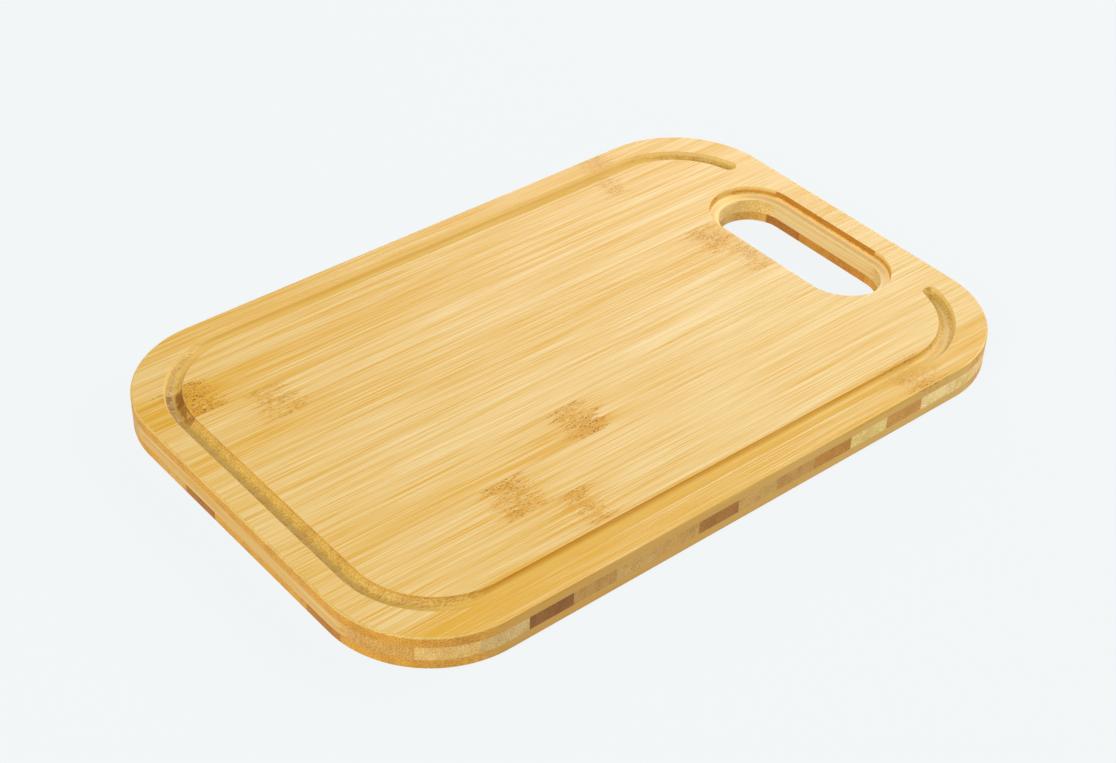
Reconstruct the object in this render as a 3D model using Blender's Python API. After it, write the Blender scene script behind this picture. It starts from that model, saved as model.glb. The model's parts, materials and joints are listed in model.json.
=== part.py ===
"""Cutting board: a three-ply bamboo panel with a juice groove and a hand slot.

Metres, +Z up. The origin is the centre of the underside, and +Y points to the
end with the hand slot. The top and bottom plies run along Y and the core ply
runs along X. Every strip is its own object, with a glue line between it and
its neighbours.
"""
import math

import bmesh
import bpy
from mathutils import Vector

# The board's outline
BOARD_LENGTH = 0.320
BOARD_WIDTH = 0.210
CORNER_RADIUS = 0.045
EDGE_ROUND = 0.0009

# The plies, from the underside up
BOTTOM_PLY = 0.0045
CORE_PLY = 0.006
TOP_PLY = 0.0045

# The strips: their width, and where one joint lies from the board's middle
FACE_STRIP = 0.020
FACE_JOINT = 0.0066
CORE_STRIP = 0.020
CORE_JOINT = 0.0134
NARROWEST_STRIP = 0.004
GLUE_LINE = 0.0003

# The juice groove, cut with a round-nosed tool
GROOVE_WIDTH = 0.007
GROOVE_DEPTH = 0.0032
GROOVE_BORDER = 0.0102
GROOVE_CORNER = 0.0385
GROOVE_STOPS_SHORT = 0.0092

# The hand slot: a hole right through, inside a recess that leaves a ledge
SLOT_LENGTH = 0.086
SLOT_WIDTH = 0.031
LEDGE_WIDTH = 0.0045
LEDGE_SKIN = 0.00035
LEDGE_COVE = 0.0015
SLOT_SETBACK = 0.0115

# How far a cutter or an untrimmed bar runs past what it meets
OVERRUN = 0.004

# Smoothness of the curved cuts
CORNER_STEPS = 12
SLOT_STEPS = 8
EDGE_STEPS = 1
GROOVE_STEPS = 4
NOSE_STEPS = 4
WELD = 0.00001
FLAT = math.radians(0.5)

SHADES = {
    "pale": (0.86, 0.68, 0.43),
    "straw": (0.80, 0.58, 0.30),
    "golden": (0.72, 0.47, 0.20),
    "honey": (0.58, 0.34, 0.13),
    "brown": (0.34, 0.17, 0.06),
}
ROUGHNESS = 0.45

# One shade for each strip, from the lowest X or Y
TOP_SHADES = ("straw", "golden", "honey", "straw", "golden", "pale",
              "straw", "golden", "golden", "straw", "golden")
CORE_SHADES = ("golden", "straw", "pale", "brown", "honey", "golden",
               "golden", "brown", "golden", "honey", "honey", "pale",
               "golden", "pale", "straw", "golden", "straw")
BOTTOM_SHADES = ("golden", "straw", "golden", "straw", "honey", "golden",
                 "golden", "golden", "honey", "golden", "straw")

THICKNESS = BOTTOM_PLY + CORE_PLY + TOP_PLY
SLOT_CENTRE_Y = BOARD_LENGTH / 2 - SLOT_SETBACK - LEDGE_WIDTH - SLOT_WIDTH / 2
CORE_TOP = BOTTOM_PLY + CORE_PLY
LEDGE_Z = CORE_TOP + GLUE_LINE / 2 + LEDGE_SKIN


def clear_scene():
    for thing in list(bpy.data.objects):
        bpy.data.objects.remove(thing, do_unlink=True)


def new_collection(name):
    collection = bpy.data.collections.new(name)
    bpy.context.scene.collection.children.link(collection)
    return collection


def bamboo(shade):
    material = bpy.data.materials.new("bamboo_" + shade)
    material.use_nodes = True
    shader = material.node_tree.nodes["Principled BSDF"]
    shader.inputs["Base Color"].default_value = (*SHADES[shade], 1.0)
    shader.inputs["Roughness"].default_value = ROUGHNESS
    shader.inputs["Metallic"].default_value = 0.0
    return material


def arc(centre, radius, start, end, steps):
    """Points on an arc about centre, from start to end in degrees."""
    points = []
    for step in range(steps + 1):
        angle = math.radians(start + (end - start) * step / steps)
        spoke = Vector((math.cos(angle), math.sin(angle)))
        points.append(centre + radius * spoke)
    return points


def corner_centre(width, length, radius, side_x, side_y):
    return Vector((side_x * (width / 2 - radius), side_y * (length / 2 - radius)))


def rounded_outline(width, length, radius, steps):
    """A closed rectangle with round corners, and a slot when they meet."""
    corners = ((1, 1, 0), (-1, 1, 90), (-1, -1, 180), (1, -1, 270))
    points = []
    for side_x, side_y, start in corners:
        centre = corner_centre(width, length, radius, side_x, side_y)
        for point in arc(centre, radius, start, start + 90, steps):
            if not points or (point - points[-1]).length > WELD:
                points.append(point)
    if (points[-1] - points[0]).length <= WELD:
        points.pop()
    return points


def poly_curve(name, points, closed):
    curve = bpy.data.curves.new(name, "CURVE")
    spline = curve.splines.new("POLY")
    spline.points.add(len(points) - 1)
    for place, point in zip(spline.points, points):
        place.co = (point.x, point.y, 0.0, 1.0)
    spline.use_cyclic_u = closed
    return curve


def cutter_from_curve(curve, location, cutters):
    """The curve's surface as a welded mesh, kept as a guide for Booleans."""
    guide = bpy.data.objects.new(curve.name, curve)
    guide.location = location
    cutters.objects.link(guide)
    bpy.context.view_layer.update()
    seen = guide.evaluated_get(bpy.context.evaluated_depsgraph_get())
    mesh = bpy.data.meshes.new_from_object(seen)
    place = guide.matrix_world.copy()
    name = guide.name
    bpy.data.objects.remove(guide, do_unlink=True)

    form = bmesh.new()
    form.from_mesh(mesh)
    bmesh.ops.remove_doubles(form, verts=form.verts, dist=WELD)
    bmesh.ops.dissolve_limit(form, angle_limit=FLAT, verts=form.verts, edges=form.edges)
    bmesh.ops.recalc_face_normals(form, faces=form.faces)
    form.to_mesh(mesh)
    form.free()

    cutter = bpy.data.objects.new(name, mesh)
    cutter.matrix_world = place
    cutter.display_type = "WIRE"
    cutter.hide_render = True
    cutters.objects.link(cutter)
    return cutter


def prism(name, outline, centre_y, low, high, edge_round, cutters):
    """An upright prism of the outline, with its rims rounded over."""
    curve = poly_curve(name, outline, True)
    curve.dimensions = "2D"
    curve.fill_mode = "BOTH"
    curve.extrude = (high - low) / 2 - edge_round
    curve.bevel_depth = edge_round
    curve.bevel_resolution = EDGE_STEPS if edge_round else 0
    curve.offset = -edge_round
    return cutter_from_curve(curve, (0.0, centre_y, (low + high) / 2), cutters)


def groove_route():
    """The groove's centre line: down one side, across and up the other."""
    inset = GROOVE_BORDER + GROOVE_WIDTH / 2
    width, length = BOARD_WIDTH - 2 * inset, BOARD_LENGTH - 2 * inset
    short = math.degrees(math.asin(GROOVE_STOPS_SHORT / GROOVE_CORNER))
    corners = ((1, 1, 90 - short, 0), (1, -1, 0, -90),
               (-1, -1, -90, -180), (-1, 1, 180, 90 + short))
    route = []
    for side_x, side_y, start, end in corners:
        centre = corner_centre(width, length, GROOVE_CORNER, side_x, side_y)
        route += arc(centre, GROOVE_CORNER, start, end, CORNER_STEPS)
    return route


def nose(tip, inner, radius):
    """Points past the end of a route, with the radii of a round end."""
    along = (tip - inner).normalized()
    points = []
    for step in range(1, NOSE_STEPS + 1):
        angle = math.radians(85) * step / NOSE_STEPS
        points.append((tip + radius * math.sin(angle) * along, math.cos(angle)))
    return points


def groove_cutter(cutters):
    radius = GROOVE_WIDTH / 2
    route = groove_route()
    first = nose(route[0], route[1], radius)
    last = nose(route[-1], route[-2], radius)
    stations = first[::-1] + [(point, 1.0) for point in route] + last
    curve = poly_curve("groove_cutter", [point for point, _ in stations], False)
    for place, (_, share) in zip(curve.splines[0].points, stations):
        place.radius = share
    curve.dimensions = "3D"
    curve.bevel_depth = radius
    curve.bevel_resolution = GROOVE_STEPS
    curve.use_fill_caps = True
    return cutter_from_curve(curve, (0.0, 0.0, THICKNESS - GROOVE_DEPTH + radius), cutters)


def meets(low, high, cutter):
    """Whether a bar between two corners reaches a cutter's box."""
    corners = [cutter.matrix_world @ Vector(corner) for corner in cutter.bound_box]
    for axis in range(3):
        if min(corner[axis] for corner in corners) > high[axis]:
            return False
        if max(corner[axis] for corner in corners) < low[axis]:
            return False
    return True


def cut(piece, cutter, operation):
    boolean = piece.modifiers.new(cutter.name, "BOOLEAN")
    boolean.solver = "EXACT"
    boolean.operation = operation
    boolean.object = cutter


def strip_edges(joint, width, extent):
    """Joints across a ply, between its two edges, both edges included."""
    first = math.ceil((-extent / 2 + NARROWEST_STRIP - joint) / width)
    last = math.floor((extent / 2 - NARROWEST_STRIP - joint) / width)
    joints = [joint + width * index for index in range(first, last + 1)]
    return [-extent / 2 - OVERRUN] + joints + [extent / 2 + OVERRUN]


def strip_sides(edges):
    """The two sides of each strip, drawn back from its joints by the glue."""
    sides = []
    for index in range(len(edges) - 1):
        low = edges[index] + (GLUE_LINE / 2 if index else 0.0)
        high = edges[index + 1] - (GLUE_LINE / 2 if index < len(edges) - 2 else 0.0)
        sides.append((low, high))
    return sides


def add_strip(name, low, high, material, board):
    """A bar between two corners, trimmed to the board and cut by what it meets."""
    low = Vector(low)
    high = Vector(high)
    form = bmesh.new()
    bmesh.ops.create_cube(form, size=1.0)
    bmesh.ops.scale(form, vec=high - low, verts=form.verts)
    mesh = bpy.data.meshes.new(name)
    form.to_mesh(mesh)
    form.free()
    mesh.materials.append(material)
    piece = bpy.data.objects.new(name, mesh)
    piece.location = (low + high) / 2
    piece.parent = board["origin"]
    board["pieces"].objects.link(piece)
    cut(piece, board["blank"], "INTERSECT")
    for cutter in board["cuts"]:
        if meets(low, high, cutter):
            cut(piece, cutter, "DIFFERENCE")


def add_face_ply(ply, low_z, high_z, shades, board):
    """Strips along Y. The slot parts a strip whose sides both lie in it."""
    reach = BOARD_LENGTH / 2 + OVERRUN
    sides = strip_sides(strip_edges(FACE_JOINT, FACE_STRIP, BOARD_WIDTH))
    for index, (low_x, high_x) in enumerate(sides):
        name = f"{ply}_strip_{index + 1:02d}"
        material = board["shades"][shades[index % len(shades)]]
        spans = [(name, -reach, reach)]
        if low_x > -SLOT_LENGTH / 2 and high_x < SLOT_LENGTH / 2:
            spans = [(name, -reach, SLOT_CENTRE_Y), (name + "_end", SLOT_CENTRE_Y, reach)]
        for piece, low_y, high_y in spans:
            add_strip(piece, (low_x, low_y, low_z), (high_x, high_y, high_z), material, board)


def add_core_ply(low_z, high_z, shades, board):
    """Strips along X. The slot parts a strip whose sides both lie in it."""
    reach = BOARD_WIDTH / 2 + OVERRUN
    slot_low = SLOT_CENTRE_Y - SLOT_WIDTH / 2
    slot_high = SLOT_CENTRE_Y + SLOT_WIDTH / 2
    sides = strip_sides(strip_edges(CORE_JOINT, CORE_STRIP, BOARD_LENGTH))
    for index, (low_y, high_y) in enumerate(sides):
        name = f"core_strip_{index + 1:02d}"
        material = board["shades"][shades[index % len(shades)]]
        spans = [(name, -reach, reach)]
        if low_y > slot_low and high_y < slot_high:
            spans = [(name + "_left", -reach, 0.0), (name + "_right", 0.0, reach)]
        for piece, low_x, high_x in spans:
            add_strip(piece, (low_x, low_y, low_z), (high_x, high_y, high_z), material, board)


def slot_outline(border):
    length = SLOT_LENGTH + 2 * border
    width = SLOT_WIDTH + 2 * border
    return rounded_outline(length, width, width / 2, SLOT_STEPS)


def main():
    clear_scene()
    pieces = new_collection("cutting_board")
    cutters = new_collection("cutters")
    origin = bpy.data.objects.new("board_origin", None)
    pieces.objects.link(origin)

    outline = rounded_outline(BOARD_WIDTH, BOARD_LENGTH, CORNER_RADIUS, CORNER_STEPS)
    above = THICKNESS + OVERRUN
    board = {
        "origin": origin,
        "pieces": pieces,
        "shades": {shade: bamboo(shade) for shade in SHADES},
        "blank": prism("blank", outline, 0.0, 0.0, THICKNESS, EDGE_ROUND, cutters),
        "cuts": [
            groove_cutter(cutters),
            prism("recess_cutter", slot_outline(LEDGE_WIDTH), SLOT_CENTRE_Y,
                  LEDGE_Z, above, LEDGE_COVE, cutters),
            prism("slot_cutter", slot_outline(0.0), SLOT_CENTRE_Y,
                  -OVERRUN, above, 0.0, cutters),
        ],
    }
    add_face_ply("bottom", -OVERRUN, BOTTOM_PLY - GLUE_LINE / 2, BOTTOM_SHADES, board)
    add_core_ply(BOTTOM_PLY + GLUE_LINE / 2, CORE_TOP - GLUE_LINE / 2, CORE_SHADES, board)
    add_face_ply("top", CORE_TOP + GLUE_LINE / 2, above, TOP_SHADES, board)


main()
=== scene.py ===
# %% [markdown]
# # A bamboo cutting board, strip by strip
# This lesson dresses a cutting board whose design is already fixed: three plies
# of bamboo strips, glued crosswise, with a juice groove and a hand slot. The
# design loads as a set of plain strips, and each gets a finely shaped piece of
# wood in its place.

# %% Load the fixed design
import json
import math
import random

import bmesh
import bpy
from mathutils import Matrix, Vector


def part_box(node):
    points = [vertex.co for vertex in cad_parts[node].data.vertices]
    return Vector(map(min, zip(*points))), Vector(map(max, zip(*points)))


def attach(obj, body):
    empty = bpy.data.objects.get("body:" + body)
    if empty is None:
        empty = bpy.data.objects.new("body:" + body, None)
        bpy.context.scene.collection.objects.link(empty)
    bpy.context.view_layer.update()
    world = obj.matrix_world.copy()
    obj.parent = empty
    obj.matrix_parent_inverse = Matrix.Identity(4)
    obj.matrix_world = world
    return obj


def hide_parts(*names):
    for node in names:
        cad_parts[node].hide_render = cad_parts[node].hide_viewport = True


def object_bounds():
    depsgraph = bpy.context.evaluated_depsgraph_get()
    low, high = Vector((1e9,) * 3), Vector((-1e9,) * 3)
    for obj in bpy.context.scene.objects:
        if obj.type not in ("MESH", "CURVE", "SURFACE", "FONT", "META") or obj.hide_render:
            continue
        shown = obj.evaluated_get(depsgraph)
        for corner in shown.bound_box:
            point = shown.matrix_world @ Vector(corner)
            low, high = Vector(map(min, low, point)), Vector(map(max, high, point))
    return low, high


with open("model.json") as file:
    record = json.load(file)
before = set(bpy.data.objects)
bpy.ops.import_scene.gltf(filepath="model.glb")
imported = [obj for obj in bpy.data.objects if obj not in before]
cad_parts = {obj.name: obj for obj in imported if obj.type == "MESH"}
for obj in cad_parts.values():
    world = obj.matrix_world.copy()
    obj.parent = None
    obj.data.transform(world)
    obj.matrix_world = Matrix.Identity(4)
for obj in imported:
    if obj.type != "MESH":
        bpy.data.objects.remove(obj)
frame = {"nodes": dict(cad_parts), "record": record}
cad_low, cad_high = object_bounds()
print("board", [round(side * 1000, 2) for side in cad_high - cad_low], "mm")
print(len(frame["nodes"]), "strips")

# %% [markdown]
# ## Sizes
# The loaded strips already say where every joint lies, so nothing about them is
# typed in again. Only the routed cuts need numbers of their own: they are the
# cutters that a joiner would put in the router.

# %% Router settings, in metres
CORNER_RADIUS = 0.045
EDGE_ROUND = 0.0009

GROOVE_RADIUS = 0.0035
GROOVE_DEPTH = 0.0032
GROOVE_INSET = 0.0137
GROOVE_CORNER = 0.0385
GROOVE_STOPS_SHORT = 0.0092

SLOT_LENGTH = 0.086
SLOT_WIDTH = 0.031
SLOT_Y = 0.1285
LEDGE_WIDTH = 0.0045
LEDGE_Z = 0.011
LEDGE_COVE = 0.0015

LIP_EASE = 0.00018
LEDGE_EASE = 0.0016
UNDERSIDE_EASE = 0.0004
SHARP_ANGLE = math.radians(40)
SMOOTH_ANGLE = math.radians(32)
CUTTER_SPARE = 0.003    # how far a cutter stands out of the blank
TINY = 0.000001

width, length, thickness = cad_high - cad_low
print("blank", round(width, 4), "x", round(length, 4), "x", round(thickness, 4))

# %% [markdown]
# ## Working by hand, in code
# An operator acts on whatever is selected, just as it does under the mouse, and
# a freshly loaded scene has everything selected. So each step starts by letting
# go of everything, and then takes hold of one piece, or of the edges that pass
# a test on their place.

# %% Helpers that select and apply
def hold(piece):
    """Makes one object the only selected and active one."""
    bpy.ops.object.select_all(action="DESELECT")
    piece.select_set(True)
    bpy.context.view_layer.objects.active = piece


def settle(name):
    """Names the primitive just added, and puts its place into its mesh."""
    piece = bpy.context.active_object
    piece.name = name
    piece.data.name = name
    hold(piece)
    bpy.ops.object.transform_apply(location=True, rotation=True, scale=True)
    return piece


def pick(piece, mode, test):
    """In edit mode, selects the vertices, edges or faces that pass the test."""
    bpy.ops.mesh.select_mode(type=mode)
    bpy.ops.mesh.select_all(action="DESELECT")
    mesh = bmesh.from_edit_mesh(piece.data)
    items = {"VERT": mesh.verts, "EDGE": mesh.edges, "FACE": mesh.faces}[mode]
    found = [item for item in items if test(item)]
    for item in found:
        item.select_set(True)
    mesh.select_flush_mode()
    bmesh.update_edit_mesh(piece.data)
    return len(found)


def apply_all(piece):
    hold(piece)
    for modifier in list(piece.modifiers):
        bpy.ops.object.modifier_apply(modifier=modifier.name)


def at_height(edge, height):
    return all(abs(vert.co.z - height) < TINY for vert in edge.verts)


# %% [markdown]
# ## The blank
# The board starts as a plain slab. Its four upright edges are bevelled into big
# round corners first, and the two rims are eased afterwards, so that the ease
# follows the corners. Bevelling the other way round would leave creases where
# the rims meet the corners.

# %% Slab, round corners, eased rims
bpy.ops.object.select_all(action="DESELECT")
middle = (cad_low + cad_high) / 2
bpy.ops.mesh.primitive_cube_add(size=1.0, location=middle, scale=(width, length, thickness))
blank = settle("blank")

bpy.ops.object.mode_set(mode="EDIT")
upright = pick(blank, "EDGE", lambda edge: abs(edge.verts[0].co.z - edge.verts[1].co.z) > TINY)
bpy.ops.mesh.bevel(offset=CORNER_RADIUS, segments=36, affect="EDGES")
rims = pick(blank, "EDGE", lambda edge: at_height(edge, cad_high.z) or at_height(edge, cad_low.z))
bpy.ops.mesh.bevel(offset=EDGE_ROUND, segments=4, affect="EDGES")
bpy.ops.object.mode_set(mode="OBJECT")
print(upright, "corners,", rims, "rim edges,", len(blank.data.polygons), "faces")

# %% [markdown]
# ## The juice groove
# A round-nosed router bit leaves a groove with a round floor and round ends. The
# cutter is half of that path: a circle pushed out along the board's end, turned
# round two corners with Spin, and drawn to a point in a few shrinking steps. A
# Mirror modifier makes the other half, and leaves no seam if the first circle's
# face is removed.

# %% Half of the groove's path
groove_z = thickness - GROOVE_DEPTH + GROOVE_RADIUS
turn_x = width / 2 - GROOVE_INSET - GROOVE_CORNER
turn_y = length / 2 - GROOVE_INSET - GROOVE_CORNER
NOSE_STEPS = 8
CORNER_STEPS = 32

bpy.ops.object.select_all(action="DESELECT")
bpy.ops.mesh.primitive_circle_add(
    vertices=48, radius=GROOVE_RADIUS, fill_type="NGON",
    location=(0.0, -length / 2 + GROOVE_INSET, groove_z),
    rotation=(math.radians(90), 0.0, math.radians(90)))
groove = settle("groove_cutter")


def push(move):
    bpy.ops.mesh.extrude_region_move(TRANSFORM_OT_translate={"value": move})


def turn(angle, centre):
    """Spin runs clockwise about +Z, so a left turn is about -Z."""
    bpy.ops.mesh.spin(steps=CORNER_STEPS, angle=angle, center=centre, axis=(0, 0, -1))


bpy.ops.object.mode_set(mode="EDIT")
bpy.ops.mesh.select_all(action="SELECT")
push((turn_x, 0.0, 0.0))
turn(math.radians(90), (turn_x, -turn_y, groove_z))
push((0.0, 2 * turn_y, 0.0))
last_turn = math.radians(90) - math.asin(GROOVE_STOPS_SHORT / GROOVE_CORNER)
turn(last_turn, (turn_x, turn_y, groove_z))

ahead = Vector((-math.sin(last_turn), math.cos(last_turn), 0.0))
tip = Vector((turn_x, turn_y, groove_z)) + GROOVE_CORNER * Vector(
    (math.cos(last_turn), math.sin(last_turn), 0.0))
reached, size = 0.0, 1.0
for step in range(1, NOSE_STEPS + 1):
    angle = math.radians(88) * step / NOSE_STEPS
    push((math.sin(angle) - reached) * GROOVE_RADIUS * ahead)
    reached = math.sin(angle)
    shrink = math.cos(angle) / size
    size = math.cos(angle)
    bpy.ops.transform.resize(value=(shrink,) * 3, center_override=tip + reached * GROOVE_RADIUS * ahead)

# %% The other half, and the cut
pick(groove, "FACE", lambda face: all(abs(vert.co.x) < TINY for vert in face.verts))
bpy.ops.mesh.delete(type="FACE")
bpy.ops.mesh.select_all(action="SELECT")
bpy.ops.mesh.normals_make_consistent(inside=False)
bpy.ops.object.mode_set(mode="OBJECT")
mirror = groove.modifiers.new("other half", "MIRROR")
mirror.use_axis = (True, False, False)
mirror.merge_threshold = TINY
apply_all(groove)
print("groove cutter", len(groove.data.polygons), "faces")


def cut(piece, cutter):
    boolean = piece.modifiers.new(cutter.name, "BOOLEAN")
    boolean.operation = "DIFFERENCE"
    boolean.solver = "EXACT"
    boolean.object = cutter
    apply_all(piece)
    bpy.data.objects.remove(cutter, do_unlink=True)


cut(blank, groove)
print("blank", len(blank.data.polygons), "faces")

# %% [markdown]
# ## The hand slot
# A slot with round ends is a cylinder whose two halves are pulled apart. The
# wide one stops at the ledge, and its lower rim is bevelled, which leaves a
# small cove where the ledge meets the wall. The narrow one goes right through.

# %% Two slot cutters
def slot_cutter(name, long, wide, low, high):
    bpy.ops.object.select_all(action="DESELECT")
    bpy.ops.mesh.primitive_cylinder_add(
        vertices=128, radius=wide / 2, depth=high - low,
        location=(0.0, SLOT_Y, (low + high) / 2))
    cutter = settle(name)
    bpy.ops.object.mode_set(mode="EDIT")
    for side in (-1, 1):
        pick(cutter, "VERT", lambda vert: side * vert.co.x > TINY)
        bpy.ops.transform.translate(value=(side * (long - wide) / 2, 0.0, 0.0))
    bpy.ops.object.mode_set(mode="OBJECT")
    return cutter


above = thickness + CUTTER_SPARE
recess = slot_cutter("recess_cutter", SLOT_LENGTH + 2 * LEDGE_WIDTH,
                     SLOT_WIDTH + 2 * LEDGE_WIDTH, LEDGE_Z, above)
bpy.ops.object.mode_set(mode="EDIT")
pick(recess, "EDGE", lambda edge: at_height(edge, LEDGE_Z))
bpy.ops.mesh.bevel(offset=LEDGE_COVE, segments=6, affect="EDGES")
bpy.ops.object.mode_set(mode="OBJECT")
cut(blank, recess)
cut(blank, slot_cutter("slot_cutter", SLOT_LENGTH, SLOT_WIDTH, -CUTTER_SPARE, above))
print("blank", len(blank.data.polygons), "faces")

# %% [markdown]
# ## Breaking the sharp edges
# A router leaves knife edges, and a few strokes of sandpaper take them off. The
# lips of the groove and of the slot are picked by height, and by the angle
# between their two faces, and get a very small bevel each.

# %% Sand the lips
def lip(height):
    """A test for the sharp edges at a height, away from the board's rim."""
    def sharp(edge):
        if not at_height(edge, height) or len(edge.link_faces) != 2:
            return False
        return edge.calc_face_angle() > SHARP_ANGLE
    return sharp


hold(blank)
bpy.ops.object.mode_set(mode="EDIT")
bpy.ops.mesh.select_all(action="SELECT")
bpy.ops.mesh.remove_doubles(threshold=0.00001)
for name, height, ease in (("top lips", thickness, LIP_EASE), ("ledge", LEDGE_Z, LEDGE_EASE),
                           ("underside of the slot", 0.0, UNDERSIDE_EASE)):
    found = pick(blank, "EDGE", lip(height))
    bpy.ops.mesh.bevel(offset=ease, segments=3, affect="EDGES")
    print(name, found, "edges")
bpy.ops.object.mode_set(mode="OBJECT")
print("blank", len(blank.data.polygons), "faces")

# %% [markdown]
# ## Sawing the blank into strips
# The real board was glued up first and routed afterwards, and it is made the
# same way here. One blank carries every cut, and Bisect then saws it along the
# joints, so that a groove runs on from strip to strip without a step. The saw
# lines come from the loaded strips: each lies in the middle of a glue line.

# %% The saw
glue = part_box("core_strip_01")[0].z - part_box("bottom_strip_01")[1].z
print("glue line", round(glue * 1000, 2), "mm")


def saw(piece, axis, place, keep_above):
    """Cuts a piece square to an axis, fills the cut and drops one side."""
    normal = [0.0, 0.0, 0.0]
    normal[axis] = 1.0
    point = [place * share for share in normal]
    hold(piece)
    bpy.ops.object.mode_set(mode="EDIT")
    bpy.ops.mesh.select_all(action="SELECT")
    bpy.ops.mesh.bisect(plane_co=point, plane_no=normal, use_fill=True, threshold=TINY,
                        clear_inner=keep_above, clear_outer=not keep_above)
    bpy.ops.object.mode_set(mode="OBJECT")


def saw_to_box(piece, axis, low, high):
    """Saws both sides of a piece, where they are joints and not the board's edge."""
    if low > cad_low[axis] + glue:
        saw(piece, axis, low - glue / 2, keep_above=True)
    if high < cad_high[axis] - glue:
        saw(piece, axis, high + glue / 2, keep_above=False)


def copy_of(piece, name):
    twin = piece.copy()
    twin.data = piece.data.copy()
    twin.name = name
    twin.data.name = name
    bpy.context.scene.collection.objects.link(twin)
    return twin


# %% Three plies, then their strips
plies = {}
for ply in ("bottom", "core", "top"):
    plies[ply] = copy_of(blank, ply + "_ply")
    low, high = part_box(ply + "_strip_01")
    saw_to_box(plies[ply], 2, low.z, high.z)
bpy.data.objects.remove(blank, do_unlink=True)

strips = {}
for node in sorted(frame["nodes"]):
    ply = node.split("_")[0]
    across, along = (1, 0) if ply == "core" else (0, 1)
    low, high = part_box(node)
    strip = copy_of(plies[ply], "bamboo_" + node)
    saw_to_box(strip, across, low[across], high[across])
    slot_middle = (0.0, SLOT_Y)[along]
    if "_end" in node or "_right" in node:
        saw(strip, along, slot_middle, keep_above=True)
    elif node + "_end" in frame["nodes"] or "_left" in node:
        saw(strip, along, slot_middle, keep_above=False)
    strips[node] = strip
for ply in plies.values():
    bpy.data.objects.remove(ply, do_unlink=True)
print(len(strips), "strips sawn")

# %% [markdown]
# ## Clean meshes and clean shading
# The sawn faces get outward normals. The curved cuts shade smoothly and the
# corners stay crisp, with Shade Smooth by Angle, and a Weighted Normal modifier
# then keeps the big flat faces flat right up to their eased edges.

# %% Finish each strip's surface
def finish_surface(piece):
    hold(piece)
    bpy.ops.object.mode_set(mode="EDIT")
    bpy.ops.mesh.select_all(action="SELECT")
    bpy.ops.mesh.remove_doubles(threshold=TINY)
    bpy.ops.mesh.normals_make_consistent(inside=False)
    bpy.ops.object.mode_set(mode="OBJECT")
    bpy.ops.object.shade_smooth_by_angle(angle=SMOOTH_ANGLE)
    weigh = piece.modifiers.new("flat faces", "WEIGHTED_NORMAL")
    weigh.mode = "FACE_AREA"
    weigh.weight = 60
    weigh.keep_sharp = True
    apply_all(piece)


for strip in strips.values():
    finish_surface(strip)
print(sum(len(strip.data.polygons) for strip in strips.values()), "faces in all")

# %% [markdown]
# ## Each strip takes the place of a plain one
# The plain strips stay in the file for the physics, and are hidden. Each new
# strip rides on the board's one body, is named after the plain strip it was sawn
# after, and later takes a tone from that strip's shade in the record.

# %% Replace the plain strips
shades = {part["node"]: part["material_slot"] for part in frame["record"]["subparts"]}
for node, strip in strips.items():
    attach(strip, "root")
    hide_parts(node)
print({shade: list(shades.values()).count(shade) for shade in sorted(set(shades.values()))})

# %% [markdown]
# ## What bamboo looks like
# A bamboo strip is a bundle of straight fibres. Seen from the side they are fine
# streaks that run the strip's whole length, and seen from the end they are dots.
# One solid pattern gives both: noise that is stretched a hundredfold along the
# grain. It is built once as a node group, and every strip uses it with a seed, a
# set of colours and a place for its knuckle of its own.

# %% Helpers for node trees
def add(tree, kind, inputs=None, **settings):
    """Adds a node. An input that is given a socket is linked, others are set."""
    node = tree.nodes.new(kind)
    for name, value in settings.items():
        setattr(node, name, value)
    for name, value in (inputs or {}).items():
        if isinstance(value, bpy.types.NodeSocket):
            tree.links.new(value, node.inputs[name])
        else:
            node.inputs[name].default_value = value
    return node


def maths(tree, operation, *values):
    return add(tree, "ShaderNodeMath", dict(enumerate(values)), operation=operation).outputs[0]


def total(tree, *values):
    answer = values[0]
    for value in values[1:]:
        answer = maths(tree, "ADD", answer, value)
    return answer


def times(tree, *values):
    answer = values[0]
    for value in values[1:]:
        answer = maths(tree, "MULTIPLY", answer, value)
    return answer


def fade(tree, value, start, end):
    """Goes smoothly from 0 to 1 as value goes from start to end."""
    inputs = {"Value": value, "From Min": start, "From Max": end}
    return add(tree, "ShaderNodeMapRange", inputs, interpolation_type="SMOOTHSTEP").outputs["Result"]


def stain(tree, share, under, over):
    """Lays one colour over another. A Mix node keeps its colours in A and B 6 and 7."""
    inputs = {0: share, 6: under, 7: over}
    return add(tree, "ShaderNodeMix", inputs, data_type="RGBA", clamp_factor=True).outputs[2]


def colour(red, green, blue):
    """A colour given as a paint chart gives it, from 0 to 255, for a shader."""
    def linear(level):
        share = level / 255
        return share / 12.92 if share <= 0.04045 else ((share + 0.055) / 1.055) ** 2.4
    return (linear(red), linear(green), linear(blue), 1.0)


# %% [markdown]
# ## Streaks, threads and knuckles
# Everything in the group is in the strip's own place: X across it, Y along its
# grain and Z through it. Four layers of streaks, from a broad cloud to single
# fibres, are added to one amount that blends a pale colour into a deep one. The
# cane's joint, the knuckle, is a ragged band across the strip with dark pores in
# it, and a stain that runs down the fibres from it.

# %% The grain, as a node group
STREAKS = {             # width and length of each layer, in metres, and its weight
    "cloud": (0.0090, 0.100, 0.33),
    "band": (0.0028, 0.200, 0.56),
    "streak": (0.0010, 0.100, 0.90),
    "fibre": (0.00042, 0.040, 2.10),
}
BUNDLE_PITCH = (0.00072, 0.00080)
SWERVE = 0.0030
OIL_DEPTHS = (0.0004, 0.0018)
RIM_DEPTHS = (0.0014, 0.0006)
LIP_DEPTHS = (0.0022, 0.0008)
LEDGE_DEPTHS = (0.0032, 0.0038)
GLUE_HAIRLINE = 0.0004

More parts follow.
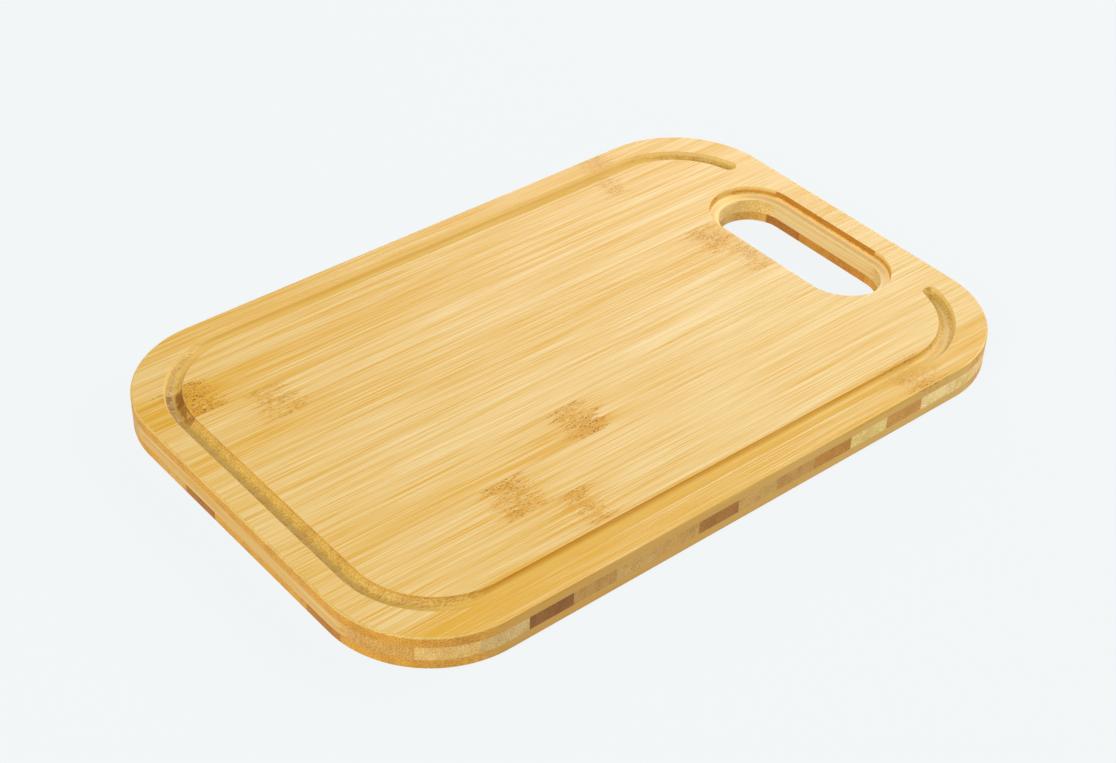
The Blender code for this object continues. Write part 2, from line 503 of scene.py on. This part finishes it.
GOLD = colour(200, 143, 12)
PIT = colour(134, 76, 4)
GLUE = colour(176, 128, 48)
# The even golden colour of routed cuts: partly oil, partly painted bounce light.
OIL_AND_BOUNCE_LIGHT = colour(218, 181, 90)
# Painted light for the ledge, where the recess wall shades it.
LEDGE_PAINTED_LIGHT = colour(250, 216, 146)
# Pale rims, part wear and part painted highlight, and the outer lip's painted light.
WEAR_AND_HIGHLIGHT = colour(240, 208, 130)
# A darker flank stain, which also carries painted shade along the flanks.
FLANK_STAIN_AND_SHADE = (0.78, 0.63, 0.31, 1.0)
DOT = (0.62, 0.46, 0.22, 1.0)
GROUP_INPUTS = {
    "Vector": ("Place", "Facing"), "Color": ("Pale", "Deep", "End", "Oil And Light"),
    "Float": ("Half Width", "Face", "Soaked", "Seed", "Tone", "Drift", "Outward", "Lip",
              "Knuckle", "Knuckle Height", "Knuckle Strength")}
GROUP_OUTPUTS = {"Color": ("Colour",), "Float": ("Roughness", "Relief")}


def grain_group():
    tree = bpy.data.node_groups.new("bamboo grain", "ShaderNodeTree")
    for in_out, sockets in (("INPUT", GROUP_INPUTS), ("OUTPUT", GROUP_OUTPUTS)):
        for kind, names in sockets.items():
            for name in names:
                tree.interface.new_socket(name, in_out=in_out, socket_type="NodeSocket" + kind)
    given = tree.nodes.new("NodeGroupInput").outputs
    place = add(tree, "ShaderNodeSeparateXYZ", {"Vector": given["Place"]}).outputs
    strength = given["Knuckle Strength"]
    rise = maths(tree, "SUBTRACT", place["Y"], given["Knuckle"])
    away = maths(tree, "ABSOLUTE", rise)

    def stretched(x, across, along, through, shift=0.0):
        """The place, counted in streaks of that size. The seed moves it far along Z."""
        return add(tree, "ShaderNodeCombineXYZ", {
            "X": maths(tree, "DIVIDE", x, across), "Y": maths(tree, "DIVIDE", place["Y"], along),
            "Z": total(tree, maths(tree, "DIVIDE", place["Z"], through), given["Seed"], shift)}).outputs[0]

    def noise(x, across, along, shift):
        """Streaks of that width and length, from -0.5 to 0.5."""
        vector = stretched(x, across, along, across * 1.3, shift)
        pattern = add(tree, "ShaderNodeTexNoise", {"Vector": vector, "Scale": 1.0, "Detail": 1.0})
        return maths(tree, "SUBTRACT", pattern.outputs["Fac"], 0.5)

    def specks(x, across, along, through, edge, core):
        """Scattered threads of that spacing: 1 in the middle of each, 0 between."""
        pattern = add(tree, "ShaderNodeTexVoronoi", {
            "Vector": stretched(x, across, along, through), "Scale": 1.0}, feature="F1")
        return fade(tree, pattern.outputs["Distance"], edge, core)

    def tinted(paint, tint):
        inputs = {0: 1.0, 6: paint, 7: tint}
        return add(tree, "ShaderNodeMix", inputs, data_type="RGBA", blend_type="MULTIPLY").outputs[2]

    # The fibres swerve where they cross the knuckle.
    near = times(tree, fade(tree, away, 0.016, 0.003), strength)
    swerve = times(tree, noise(place["X"], 0.0026, 0.0040, 3.1), SWERVE, near)
    bent = maths(tree, "ADD", place["X"], swerve)

    streaks = {name: noise(bent, across, along, 7.3 * (number + 1))
               for number, (name, (across, along, _)) in enumerate(STREAKS.items())}
    lines = fade(tree, noise(bent, 0.0007, 0.150, 51.7), 0.09, 0.17)
    threads = add(tree, "ShaderNodeCombineXYZ", {
        "X": maths(tree, "DIVIDE", bent, BUNDLE_PITCH[0]),
        "Y": total(tree, maths(tree, "DIVIDE", place["Z"], BUNDLE_PITCH[1]), given["Seed"])}).outputs[0]
    bundles = add(tree, "ShaderNodeTexVoronoi", {"Vector": threads, "Scale": 1.0, "Randomness": 0.75},
                  voronoi_dimensions="2D", feature="F1")
    bundles = fade(tree, bundles.outputs["Distance"], 0.46, 0.20)

    # The knuckle: a ragged band, curled dashes and pits in it, tongues of stain from it.
    ragged = maths(tree, "ABSOLUTE", total(tree, rise, times(tree, noise(bent, 0.0010, 0.03, 5.0), 0.022)))
    ring = fade(tree, maths(tree, "DIVIDE", ragged, given["Knuckle Height"]), 1.25, 0.45)
    patchy = fade(tree, noise(place["X"], 0.0055, 0.012, 9.0), -0.16, 0.12)
    ring = times(tree, ring, strength, total(tree, 0.45, times(tree, patchy, 0.55)))
    dashes = times(tree, noise(bent, 0.0008, 0.0032, 13.0), ring)
    pits = times(tree, specks(bent, 0.0010, 0.0014, 0.003, 0.46, 0.16), ring)
    down = times(tree, fade(tree, rise, -0.045, -0.002), maths(tree, "LESS_THAN", rise, 0.0))
    up = times(tree, fade(tree, rise, 0.022, 0.002), maths(tree, "GREATER_THAN", rise, 0.0), 0.7)
    tongues = times(tree, fade(tree, noise(bent, 0.0030, 0.09, 6.0), -0.06, 0.16),
                    total(tree, down, up), strength)

    # All of it decides how deep the colour is.
    layers = [times(tree, streaks[name], weight) for name, (_, _, weight) in STREAKS.items()]
    amount = total(tree, 0.47, given["Tone"], times(tree, place["Y"], given["Drift"]), *layers,
                   times(tree, lines, 0.22), times(tree, bundles, 0.07), times(tree, dashes, 3.4),
                   times(tree, ring, 0.30), times(tree, tongues, 0.50))
    wood = stain(tree, amount, given["Pale"], given["Deep"])
    golden = total(tree, times(tree, ring, 0.95), times(tree, tongues, 0.42), times(tree, dashes, 3.2))
    wood = stain(tree, golden, wood, GOLD)
    wood = stain(tree, pits, wood, PIT)

    # A routed cut takes an even golden colour, partly oil and partly painted bounce light, and the outer
    # flanks get a darker stain plus painted shade.
    facing = add(tree, "ShaderNodeSeparateXYZ", {"Vector": given["Facing"]}).outputs
    across, along, upward = [maths(tree, "ABSOLUTE", facing[axis]) for axis in "XYZ"]
    deep = maths(tree, "ABSOLUTE", maths(tree, "SUBTRACT", place["Z"], given["Face"]))
    # Painted light in part: routed cuts blend to an even golden colour.
    wood = stain(tree, times(tree, fade(tree, deep, *OIL_DEPTHS), given["Soaked"]), wood, given["Oil And Light"])
    side = maths(tree, "SUBTRACT", given["Half Width"], maths(tree, "ABSOLUTE", place["X"]))
    # Painted shade: the flank darkening grows with the strip's drift, darker towards the near end.
    flank_stain_and_shade = times(tree, fade(tree, across, 0.35, 0.9), fade(tree, side, 0.0030, 0.0010),
                  total(tree, 0.32, times(tree, given["Soaked"], 0.5),
                        times(tree, place["Y"], given["Drift"], 2.6)))
    wood = stain(tree, flank_stain_and_shade, wood, tinted(wood, FLANK_STAIN_AND_SHADE))

    # An end shows the cut bundles as dark dots in a ground of its own colour.
    ground = stain(tree, fade(tree, upward, 0.45, 0.05), given["Oil And Light"], given["End"])
    shade = total(tree, times(tree, streaks["band"], 1.6), times(tree, streaks["cloud"], 1.2), 0.20)
    ground = stain(tree, times(tree, shade, 0.6), ground, tinted(ground, DOT))
    ground = stain(tree, times(tree, bundles, 0.60), ground, tinted(ground, DOT))
    ground = stain(tree, times(tree, ring, 0.90), ground, PIT)
    wood = stain(tree, fade(tree, along, 0.04, 0.30), wood, ground)

    # The ledge is painted lighter, as painted light where the recess wall shades it. The eased rims are
    # painted pale, partly as wear and partly as painted highlight, and the groove's outer lip, which faces
    # the board's middle, gets painted highlight and painted light on its shaded wall. A hairline of glue
    # shows beside the neighbour.
    # Painted light: the ledge is lightened where the recess wall shades it.
    ledge = times(tree, fade(tree, deep, *LEDGE_DEPTHS), fade(tree, upward, 0.25, 0.70),
                  given["Soaked"], 1.5)
    wood = stain(tree, ledge, wood, LEDGE_PAINTED_LIGHT)
    # Part wear, part painted highlight: faces tilting over the rims go pale.
    rim_wear_and_highlight = times(tree, fade(tree, upward, 0.35, 0.60), fade(tree, upward, 0.995, 0.95),
                fade(tree, deep, *RIM_DEPTHS))
    wood = stain(tree, times(tree, rim_wear_and_highlight, 0.30), wood, WEAR_AND_HIGHLIGHT)
    # Painted highlight and painted light on the groove's shaded outer lip.
    painted_lip_light = times(tree, fade(tree, given["Outward"], -0.050, -0.075), fade(tree, deep, *LIP_DEPTHS))
    wood = stain(tree, times(tree, painted_lip_light, given["Lip"]), wood, WEAR_AND_HIGHLIGHT)
    wood = stain(tree, times(tree, fade(tree, side, GLUE_HAIRLINE, 0.0), 0.10), wood, GLUE)

    rough = total(tree, 0.42, times(tree, streaks["streak"], 0.25), times(tree, along, 0.24),
                  times(tree, pits, 0.25))
    relief = total(tree, times(tree, streaks["fibre"], 0.9), times(tree, streaks["streak"], 0.6),
                   times(tree, bundles, -0.30), times(tree, dashes, 0.8), times(tree, pits, -0.12))
    add(tree, "NodeGroupOutput", {"Colour": wood, "Roughness": rough, "Relief": relief})
    return tree


grain = grain_group()
print("grain group of", len(grain.nodes), "nodes")

# %% One finish for each strip
RELIEF_DEPTH = 0.00006
SHEEN = 0.35


def bamboo(name, along, low, high, **looks):
    """The bamboo of one strip between two corners, its grain along axis 0 or 1."""
    material = bpy.data.materials.new(name)
    material.use_nodes = True
    tree = material.node_tree
    shader = tree.nodes["Principled BSDF"]
    source = add(tree, "ShaderNodeTexCoord").outputs
    turned = (0.0, 0.0, math.radians(90) if along == 0 else 0.0)
    centre = add(tree, "ShaderNodeMapping", {
        "Vector": source["Object"], "Location": -(low + high) / 2}).outputs[0]
    wood = add(tree, "ShaderNodeGroup", {
        "Place": add(tree, "ShaderNodeMapping", {"Vector": centre, "Rotation": turned}).outputs[0],
        "Facing": add(tree, "ShaderNodeMapping", {
            "Vector": source["Normal"], "Rotation": turned}).outputs[0],
        "Outward": add(tree, "ShaderNodeVectorMath", {
            0: source["Object"], 1: source["Normal"]}, operation="DOT_PRODUCT").outputs["Value"],
        "Half Width": (high - low)[1 - along] / 2, **looks}, node_tree=grain)
    relief = add(tree, "ShaderNodeBump", {
        "Height": wood.outputs["Relief"], "Distance": RELIEF_DEPTH, "Strength": 1.0})
    tree.links.new(wood.outputs["Colour"], shader.inputs["Base Color"])
    tree.links.new(wood.outputs["Roughness"], shader.inputs["Roughness"])
    tree.links.new(relief.outputs["Normal"], shader.inputs["Normal"])
    shader.inputs["Specular IOR Level"].default_value = SHEEN
    return material


# %% [markdown]
# ## A board of many canes
# No two strips come from the same cane, so each has its own depth of colour. The
# ones on top are the best, and the middle of the board takes the odd dark ones.
# A knuckle sits wherever the cane had one.

# %% Colours, and what is special about each strip
PALE = colour(221, 193, 132)
DEEP = colour(208, 155, 25)
SHADE_TONES = {"bamboo_pale": -0.10, "bamboo_straw": -0.04, "bamboo_golden": 0.03,
               "bamboo_honey": 0.10, "bamboo_brown": 0.25}

# On top, by strip: how much deeper it is, and how much deeper per metre along it.
TOP_TONES = {1: (0.26, -0.3), 2: (0.02, 0.5), 3: (0.04, -0.8), 5: (0.05, 0.0), 6: (0.04, 0.3),
             7: (-0.10, -0.2), 8: (-0.07, -0.2), 9: (-0.10, -0.2), 10: (-0.07, -0.3), 11: (0.20, -0.9)}
# The knuckle's place along the board, half its height, and its strength.
TOP_KNUCKLES = {
    1: (0.097, 0.0080, 0.50), 2: (0.091, 0.0060, 0.45), 3: (-0.138, 0.0100, 1.00),
    4: (-0.112, 0.0085, 0.45), 5: (0.099, 0.0085, 0.70), 6: (0.103, 0.0055, 0.50),
    8: (-0.027, 0.0085, 1.00), 9: (-0.074, 0.0090, 0.75), 10: (-0.057, 0.0060, 0.60),
    11: (0.098, 0.0100, 0.70)}
NO_KNUCKLE = (0.0, 0.006, 0.0)
BOTTOM_KNUCKLES = ((-0.12, 0.12), (0.006, 0.009), (0.3, 0.9))
CORE_TONES = {1: 0.10, 15: -0.26, 16: -0.26, 17: -0.26}
BOTTOM_TONES = {11: (0.25, -0.9)}

# %% [markdown]
# The ends of the core strips show all along the board's long sides, where each
# block has a colour of its own, from nearly white to dark brown.

# %% Colours of the strips' ends
FACE_END = colour(212, 154, 52)
CORE_ENDS = {
    1: colour(206, 156, 72), 2: colour(226, 186, 108), 3: colour(214, 182, 118), 4: colour(146, 96, 30),
    5: colour(192, 146, 72), 6: colour(208, 168, 94), 7: colour(204, 158, 80), 8: colour(168, 114, 42),
    9: colour(204, 162, 86), 10: colour(198, 150, 76), 11: colour(190, 132, 46), 12: colour(232, 204, 122),
    13: colour(204, 150, 66), 14: colour(242, 216, 148), 15: colour(238, 206, 132),
    16: colour(230, 196, 116), 17: colour(224, 186, 100)}
BOTTOM_ENDS = {4: colour(212, 164, 76), 5: colour(170, 108, 26), 9: colour(182, 118, 34)}
# The slot's far wall: end grain painted darker, partly as painted shade, and its cove painted lighter as
# painted light.
SLOT_WALL_END_GRAIN_AND_SHADE, SLOT_COVE_PAINTED_LIGHT = colour(194, 134, 40), colour(244, 194, 92)

# %% Dress the strips
# The second number is how much painted highlight and painted light the groove's outer lip takes.
FACE_SOAKED, LIP_PAINTED_LIGHT = 0.6, 0.7
PLY_SEEDS, SEED_STEP = {"bottom": 0.0, "core": 400.0, "top": 800.0}, 20.0
chance = random.Random(7)
for node, strip in strips.items():
    ply, number = node.split("_")[0], int(node.split("_")[2])
    along = 0 if ply == "core" else 1
    low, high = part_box(node)
    tone, drift, end, knuckle = SHADE_TONES[shades[node]], 0.0, FACE_END, NO_KNUCKLE
    half_height, soaked, oil_and_light = (high.z - low.z) / 2, FACE_SOAKED, OIL_AND_BOUNCE_LIGHT
    face = -half_height if ply == "bottom" else half_height
    if ply == "top":
        more, drift = TOP_TONES.get(number, (0.0, 0.0))
        tone, knuckle = tone + more, TOP_KNUCKLES.get(number, NO_KNUCKLE)
    elif ply == "bottom":
        more, drift = BOTTOM_TONES.get(number, (0.0, 0.0))
        tone, end = tone + more, BOTTOM_ENDS.get(number, FACE_END)
        knuckle = [chance.uniform(*limits) for limits in BOTTOM_KNUCKLES]
    else:
        end, soaked, oil_and_light = CORE_ENDS[number], 0.0, CORE_ENDS[number]
        tone = CORE_TONES.get(number, tone)
    # Beyond the slot: end grain painted darker as painted shade, and the cove painted lighter as painted
    # light.
    if node.endswith("_end") and end == FACE_END:
        end, oil_and_light = SLOT_WALL_END_GRAIN_AND_SHADE, SLOT_COVE_PAINTED_LIGHT
    middle = (low + high) / 2
    finish = bamboo("bamboo_finish_" + node, along, low, high, **{
        "Face": face, "Soaked": soaked,
        "Lip": LIP_PAINTED_LIGHT if ply == "top" and end != SLOT_WALL_END_GRAIN_AND_SHADE else 0.0,
        "Seed": PLY_SEEDS[ply] + SEED_STEP * number,
        "Tone": tone + drift * middle[along], "Drift": drift, "Pale": PALE, "Deep": DEEP,
        "End": end, "Oil And Light": oil_and_light,
        "Knuckle": knuckle[0] - middle[along], "Knuckle Height": knuckle[1],
        "Knuckle Strength": knuckle[2]})
    strip.data.materials.clear()
    strip.data.materials.append(finish)
print(len(bpy.data.materials), "materials")

# %% [markdown]
# ## Camera
# The camera looks down at the board from its corner, with a fairly long lens. Its
# place is given by how far round it stands, how high and how far, as one would
# walk round a table.

# %% Stand the camera
AIM = Vector((-0.0009, -0.0059, 0.0))
ROUND, UP, ROLL = math.radians(49.01), math.radians(38.11), math.radians(2.211)
DISTANCE = 0.8272
FOCAL_LENGTH = 65.90

lens = bpy.data.cameras.new("camera")
lens.sensor_width = 36.0
lens.lens = FOCAL_LENGTH
lens.clip_start, lens.clip_end = 0.05, 50.0
camera = bpy.data.objects.new("camera", lens)
bpy.context.scene.collection.objects.link(camera)
back = Vector((math.sin(ROUND) * math.cos(UP), -math.cos(ROUND) * math.cos(UP), math.sin(UP)))
level = Vector((0.0, 0.0, 1.0)).cross(back).normalized()
upward = back.cross(level)
right = math.cos(ROLL) * level + math.sin(ROLL) * upward
top = math.cos(ROLL) * upward - math.sin(ROLL) * level
turn_to = Matrix((right, top, back)).transposed()
camera.matrix_world = Matrix.Translation(AIM + DISTANCE * back) @ turn_to.to_4x4()
bpy.context.scene.camera = camera
print("camera at", [round(value, 3) for value in camera.location])

# %% [markdown]
# ## Floor and light
# A pale studio table and a white surrounding light the board from all sides, so
# no side goes dark. A key softbox stands low behind the handle, and one further
# round to the left adds the broad sheen on the far half. The strongest, in front
# and higher up, is a fill that lifts the short side. The table glows by itself,
# which keeps the board's shadow faint.

# %% Pale table
STUDIO = colour(243, 247, 248)
FLOOR_GLOW = 0.94
FLOOR_GAP = 0.0003      # keeps the table clear of the board's underside

bpy.ops.object.select_all(action="DESELECT")
bpy.ops.mesh.primitive_plane_add(size=40.0, location=(0.0, 0.0, -FLOOR_GAP))
floor = settle("studio_floor")
paint = bpy.data.materials.new("studio_table")
paint.use_nodes = True
tree = paint.node_tree
tree.nodes.clear()
glow = add(tree, "ShaderNodeEmission", {"Color": STUDIO, "Strength": 1.0})
matt = add(tree, "ShaderNodeBsdfDiffuse", {"Color": (0.7, 0.7, 0.7, 1.0)})
mixed = add(tree, "ShaderNodeMixShader", {0: 1.0 - FLOOR_GLOW, 1: glow.outputs[0], 2: matt.outputs[0]})
add(tree, "ShaderNodeOutputMaterial", {"Surface": mixed.outputs[0]})
floor.data.materials.append(paint)

# %% Surrounding and softboxes
HORIZON, ZENITH = 1.0, 0.16
scene = bpy.context.scene
scene.world = bpy.data.worlds.new("studio")
scene.world.use_nodes = True
tree = scene.world.node_tree
height = add(tree, "ShaderNodeSeparateXYZ", {
    "Vector": add(tree, "ShaderNodeTexCoord").outputs["Object"]}).outputs["Z"]
dimmed = times(tree, fade(tree, height, 0.45, 0.10), HORIZON - ZENITH)
background = tree.nodes["Background"]
background.inputs["Color"].default_value = STUDIO
tree.links.new(total(tree, dimmed, ZENITH), background.inputs["Strength"])
scene.view_settings.view_transform = "Standard"
scene.view_settings.look = "None"


def softbox(name, around, up, away, size, power):
    """A square of soft light that faces the board from that side."""
    light = bpy.data.lights.new(name, "AREA")
    light.shape = "SQUARE"
    light.size = size
    light.energy = power
    lamp = bpy.data.objects.new(name, light)
    scene.collection.objects.link(lamp)
    around, up = math.radians(around), math.radians(up)
    lamp.location = away * Vector((
        math.cos(around) * math.cos(up), math.sin(around) * math.cos(up), math.sin(up)))
    lamp.rotation_euler = (-lamp.location).to_track_quat("-Z", "Y").to_euler()


softbox("key", 72, 28, 1.8, 1.0, 25.5)
softbox("sheen", 135, 25, 1.8, 1.0, 14.0)
softbox("fill", 285, 42, 2.2, 1.2, 38.5)
